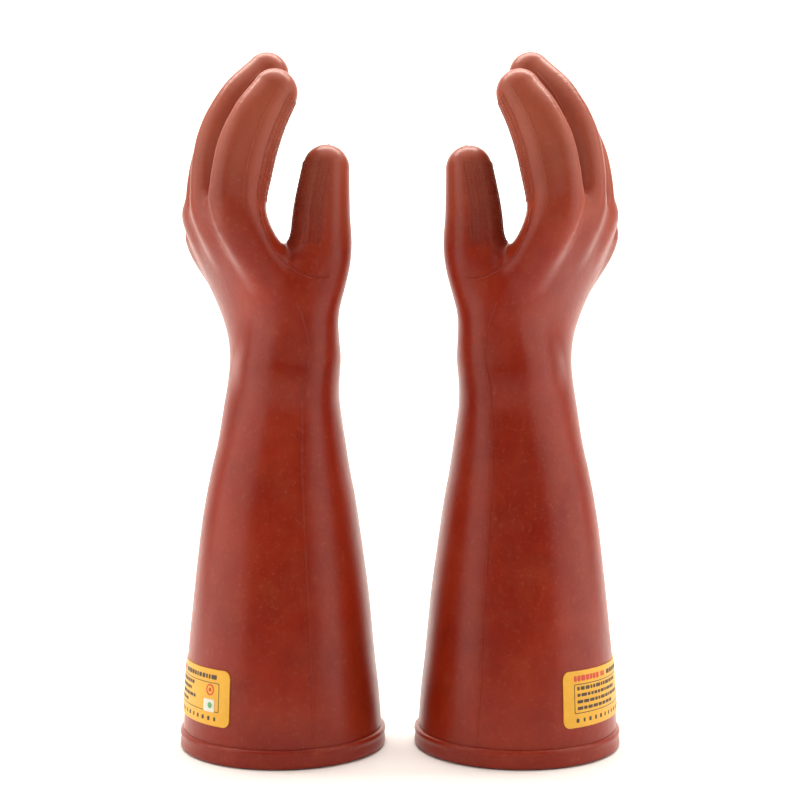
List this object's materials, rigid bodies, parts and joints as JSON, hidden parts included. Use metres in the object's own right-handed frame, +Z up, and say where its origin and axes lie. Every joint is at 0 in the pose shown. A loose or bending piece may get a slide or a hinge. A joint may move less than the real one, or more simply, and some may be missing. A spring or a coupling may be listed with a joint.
{
  "type": "pair of insulating gloves",
  "caption": "Pair of long moulded rubber insulating gloves with flared sleeves and beaded cuffs, standing palms facing, with bending wrists, fingers and thumbs.",
  "frame": {"origin": "on the table plane, at the middle of the pair's footprint", "axes": "+Z up from the cuffs to the fingertips, +X from the left-hand glove to the right-hand glove, -Y the side that both thumbs are turned to"},
  "size_m": [0.2538, 0.1262, 0.3919],
  "materials": {
    "rubber": "semi-gloss moulded rubber with a faint powder bloom",
    "label": "satin printed label",
    "seal": "matte inspection sticker"
  },
  "bodies": {
    "left_gauntlet": {"left_gauntlet": "rubber", "left_cuff_bead": "rubber", "left_label": "label", "left_label_seal": "seal"},
    "left_palm": {"left_palm": "rubber"},
    "left_index_root": {"left_index_root": "rubber"},
    "left_index_middle": {"left_index_middle": "rubber"},
    "left_index_tip": {"left_index_tip": "rubber"},
    "left_middle_root": {"left_middle_root": "rubber"},
    "left_middle_middle": {"left_middle_middle": "rubber"},
    "left_middle_tip": {"left_middle_tip": "rubber"},
    "left_ring_root": {"left_ring_root": "rubber"},
    "left_ring_middle": {"left_ring_middle": "rubber"},
    "left_ring_tip": {"left_ring_tip": "rubber"},
    "left_little_root": {"left_little_root": "rubber"},
    "left_little_middle": {"left_little_middle": "rubber"},
    "left_little_tip": {"left_little_tip": "rubber"},
    "left_thumb_base": {"left_thumb_base": "rubber"},
    "left_thumb_tip": {"left_thumb_tip": "rubber"},
    "right_gauntlet": {"right_gauntlet": "rubber", "right_cuff_bead": "rubber", "right_label": "label", "right_label_seal": "seal"},
    "right_palm": {"right_palm": "rubber"},
    "right_index_root": {"right_index_root": "rubber"},
    "right_index_middle": {"right_index_middle": "rubber"},
    "right_index_tip": {"right_index_tip": "rubber"},
    "right_middle_root": {"right_middle_root": "rubber"},
    "right_middle_middle": {"right_middle_middle": "rubber"},
    "right_middle_tip": {"right_middle_tip": "rubber"},
    "right_ring_root": {"right_ring_root": "rubber"},
    "right_ring_middle": {"right_ring_middle": "rubber"},
    "right_ring_tip": {"right_ring_tip": "rubber"},
    "right_little_root": {"right_little_root": "rubber"},
    "right_little_middle": {"right_little_middle": "rubber"},
    "right_little_tip": {"right_little_tip": "rubber"},
    "right_thumb_base": {"right_thumb_base": "rubber"},
    "right_thumb_tip": {"right_thumb_tip": "rubber"}
  },
  "joints": [
    {"name": "left_wrist_bend", "type": "hinge", "parent": "left_gauntlet", "child": "left_palm", "pos_m": [-0.06834, 0.00307, 0.21], "axis": [-0.4067, 0.9135, 0], "range_deg": [-20, 20]},
    {"name": "left_index_knuckle", "type": "hinge", "parent": "left_palm", "child": "left_index_root", "pos_m": [-0.08699, -0.04847, 0.296], "axis": [-0.4067, 0.9135, 0], "range_deg": [-20, 18]},
    {"name": "left_index_middle_joint", "type": "hinge", "parent": "left_index_root", "child": "left_index_middle", "pos_m": [-0.08472, -0.04746, 0.32439], "axis": [-0.4067, 0.9135, 0], "range_deg": [-15, 18]},
    {"name": "left_index_tip_joint", "type": "hinge", "parent": "left_index_middle", "child": "left_index_tip", "pos_m": [-0.07788, -0.04442, 0.34614], "axis": [-0.4067, 0.9135, 0], "range_deg": [-9, 11]},
    {"name": "left_middle_knuckle", "type": "hinge", "parent": "left_palm", "child": "left_middle_root", "pos_m": [-0.1005, -0.02549, 0.3], "axis": [-0.4067, 0.9135, 0], "range_deg": [-20, 40]},
    {"name": "left_middle_middle_joint", "type": "hinge", "parent": "left_middle_root", "child": "left_middle_middle", "pos_m": [-0.09885, -0.02475, 0.33445], "axis": [-0.4067, 0.9135, 0], "range_deg": [-15, 45]},
    {"name": "left_middle_tip_joint", "type": "hinge", "parent": "left_middle_middle", "child": "left_middle_tip", "pos_m": [-0.0891, -0.02041, 0.36088], "axis": [-0.4067, 0.9135, 0], "range_deg": [-9, 27]},
    {"name": "left_ring_knuckle", "type": "hinge", "parent": "left_palm", "child": "left_ring_root", "pos_m": [-0.10842, -0.00033, 0.297], "axis": [-0.4067, 0.9135, 0], "range_deg": [-20, 40]},
    {"name": "left_ring_middle_joint", "type": "hinge", "parent": "left_ring_root", "child": "left_ring_middle", "pos_m": [-0.10638, 0.00058, 0.32892], "axis": [-0.4067, 0.9135, 0], "range_deg": [-15, 45]},
    {"name": "left_ring_tip_joint", "type": "hinge", "parent": "left_ring_middle", "child": "left_ring_tip", "pos_m": [-0.09748, 0.00454, 0.35303], "axis": [-0.4067, 0.9135, 0], "range_deg": [-9, 27]},
    {"name": "left_little_knuckle", "type": "hinge", "parent": "left_palm", "child": "left_little_root", "pos_m": [-0.11389, 0.02548, 0.289], "axis": [-0.4067, 0.9135, 0], "range_deg": [-20, 40]},
    {"name": "left_little_middle_joint", "type": "hinge", "parent": "left_little_root", "child": "left_little_middle", "pos_m": [-0.1119, 0.02636, 0.3139], "axis": [-0.4067, 0.9135, 0], "range_deg": [-15, 45]},
    {"name": "left_little_tip_joint", "type": "hinge", "parent": "left_little_middle", "child": "left_little_tip", "pos_m": [-0.10565, 0.02914, 0.3327], "axis": [-0.4067, 0.9135, 0], "range_deg": [-9, 27]},
    {"name": "left_thumb_root_joint", "type": "hinge", "parent": "left_palm", "child": "left_thumb_base", "pos_m": [-0.04298, -0.03053, 0.276], "axis": [-0.4067, 0.9135, 0], "range_deg": [-10, 25]},
    {"name": "left_thumb_tip_joint", "type": "hinge", "parent": "left_thumb_base", "child": "left_thumb_tip", "pos_m": [-0.04271, -0.0304, 0.301], "axis": [-0.4067, 0.9135, 0], "range_deg": [-25, 15]},
    {"name": "pair_spacing", "type": "slide", "parent": "left_gauntlet", "child": "right_gauntlet", "axis": [1, 0, 0], "range_m": [-0.014, 0.12]},
    {"name": "right_wrist_bend", "type": "hinge", "parent": "right_gauntlet", "child": "right_palm", "pos_m": [0.06716, 0.00303, 0.21], "axis": [-0.4772, -0.8788, 0], "range_deg": [-20, 20]},
    {"name": "right_index_knuckle", "type": "hinge", "parent": "right_palm", "child": "right_index_root", "pos_m": [0.08171, -0.04981, 0.296], "axis": [-0.4772, -0.8788, 0], "range_deg": [-20, 18]},
    {"name": "right_index_middle_joint", "type": "hinge", "parent": "right_index_root", "child": "right_index_middle", "pos_m": [0.07952, -0.04863, 0.32439], "axis": [-0.4772, -0.8788, 0], "range_deg": [-15, 18]},
    {"name": "right_index_tip_joint", "type": "hinge", "parent": "right_index_middle", "child": "right_index_tip", "pos_m": [0.07294, -0.04506, 0.34614], "axis": [-0.4772, -0.8788, 0], "range_deg": [-9, 11]},
    {"name": "right_middle_knuckle", "type": "hinge", "parent": "right_palm", "child": "right_middle_root", "pos_m": [0.09699, -0.02796, 0.3], "axis": [-0.4772, -0.8788, 0], "range_deg": [-20, 40]},
    {"name": "right_middle_middle_joint", "type": "hinge", "parent": "right_middle_root", "child": "right_middle_middle", "pos_m": [0.0954, -0.0271, 0.33445], "axis": [-0.4772, -0.8788, 0], "range_deg": [-15, 45]},
    {"name": "right_middle_tip_joint", "type": "hinge", "parent": "right_middle_middle", "child": "right_middle_tip", "pos_m": [0.08602, -0.022, 0.36088], "axis": [-0.4772, -0.8788, 0], "range_deg": [-9, 27]},
    {"name": "right_ring_knuckle", "type": "hinge", "parent": "right_palm", "child": "right_ring_root", "pos_m": [0.10685, -0.0035, 0.297], "axis": [-0.4772, -0.8788, 0], "range_deg": [-20, 40]},
    {"name": "right_ring_middle_joint", "type": "hinge", "parent": "right_ring_root", "child": "right_ring_middle", "pos_m": [0.10489, -0.00244, 0.32892], "axis": [-0.4772, -0.8788, 0], "range_deg": [-15, 45]},
    {"name": "right_ring_tip_joint", "type": "hinge", "parent": "right_ring_middle", "child": "right_ring_tip", "pos_m": [0.09633, 0.00221, 0.35303], "axis": [-0.4772, -0.8788, 0], "range_deg": [-9, 27]},
    {"name": "right_little_knuckle", "type": "hinge", "parent": "right_palm", "child": "right_little_root", "pos_m": [0.11433, 0.0218, 0.289], "axis": [-0.4772, -0.8788, 0], "range_deg": [-20, 40]},
    {"name": "right_little_middle_joint", "type": "hinge", "parent": "right_little_root", "child": "right_little_middle", "pos_m": [0.11242, 0.02284, 0.3139], "axis": [-0.4772, -0.8788, 0], "range_deg": [-15, 45]},
    {"name": "right_little_tip_joint", "type": "hinge", "parent": "right_little_middle", "child": "right_little_tip", "pos_m": [0.1064, 0.0261, 0.3327], "axis": [-0.4772, -0.8788, 0], "range_deg": [-9, 27]},
    {"name": "right_thumb_root_joint", "type": "hinge", "parent": "right_palm", "child": "right_thumb_base", "pos_m": [0.03925, -0.02847, 0.276], "axis": [-0.4772, -0.8788, 0], "range_deg": [-10, 25]},
    {"name": "right_thumb_tip_joint", "type": "hinge", "parent": "right_thumb_base", "child": "right_thumb_tip", "pos_m": [0.03898, -0.02832, 0.301], "axis": [-0.4772, -0.8788, 0], "range_deg": [-25, 15]}
  ],
  "couplings": [
    {"joint": "left_index_tip_joint", "follows": "left_index_middle_joint", "ratio": 0.6},
    {"joint": "left_middle_tip_joint", "follows": "left_middle_middle_joint", "ratio": 0.6},
    {"joint": "left_ring_tip_joint", "follows": "left_ring_middle_joint", "ratio": 0.6},
    {"joint": "left_little_tip_joint", "follows": "left_little_middle_joint", "ratio": 0.6},
    {"joint": "right_index_tip_joint", "follows": "right_index_middle_joint", "ratio": 0.6},
    {"joint": "right_middle_tip_joint", "follows": "right_middle_middle_joint", "ratio": 0.6},
    {"joint": "right_ring_tip_joint", "follows": "right_ring_middle_joint", "ratio": 0.6},
    {"joint": "right_little_tip_joint", "follows": "right_little_middle_joint", "ratio": 0.6}
  ]
}
